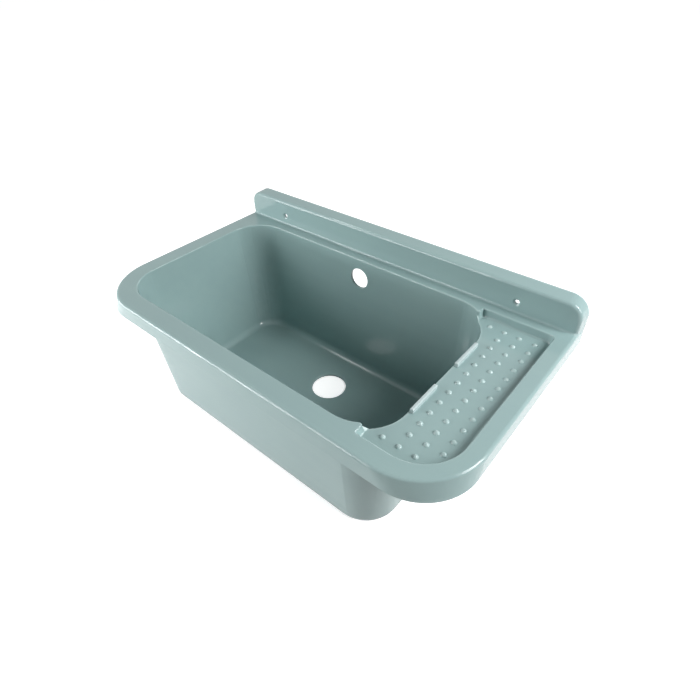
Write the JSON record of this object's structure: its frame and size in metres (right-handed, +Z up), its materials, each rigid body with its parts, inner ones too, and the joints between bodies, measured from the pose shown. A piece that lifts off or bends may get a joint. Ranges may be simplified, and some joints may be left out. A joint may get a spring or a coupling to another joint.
{
  "type": "utility sink",
  "caption": "Moulded plastic utility sink: deep tapered bowl, round-cornered rim with skirt, sunk drainer board with pips and stop strips at the right, and a wall upstand with screw holes.",
  "frame": {"origin": "centre of the bounding box on the plane of the bowl's underside", "axes": "+X to the right seen from the front, towards the drainer; +Y to the wall; +Z up"},
  "size_m": [0.5, 0.283, 0.211],
  "materials": {
    "moulding": "satin moulded polypropylene, blue-green grey",
    "strip": "satin moulded polypropylene, a shade lighter"
  },
  "bodies": {
    "sink": {"basin": "moulding"},
    "front_strip": {"stop_strip_front": "strip"},
    "rear_strip": {"stop_strip_rear": "strip"}
  },
  "joints": [
    {"name": "front_strip_pull", "type": "slide", "parent": "sink", "child": "front_strip", "axis": [0, 0, 1], "range_m": [0, 0.02]},
    {"name": "rear_strip_pull", "type": "slide", "parent": "sink", "child": "rear_strip", "axis": [0, 0, 1], "range_m": [0, 0.02]}
  ]
}
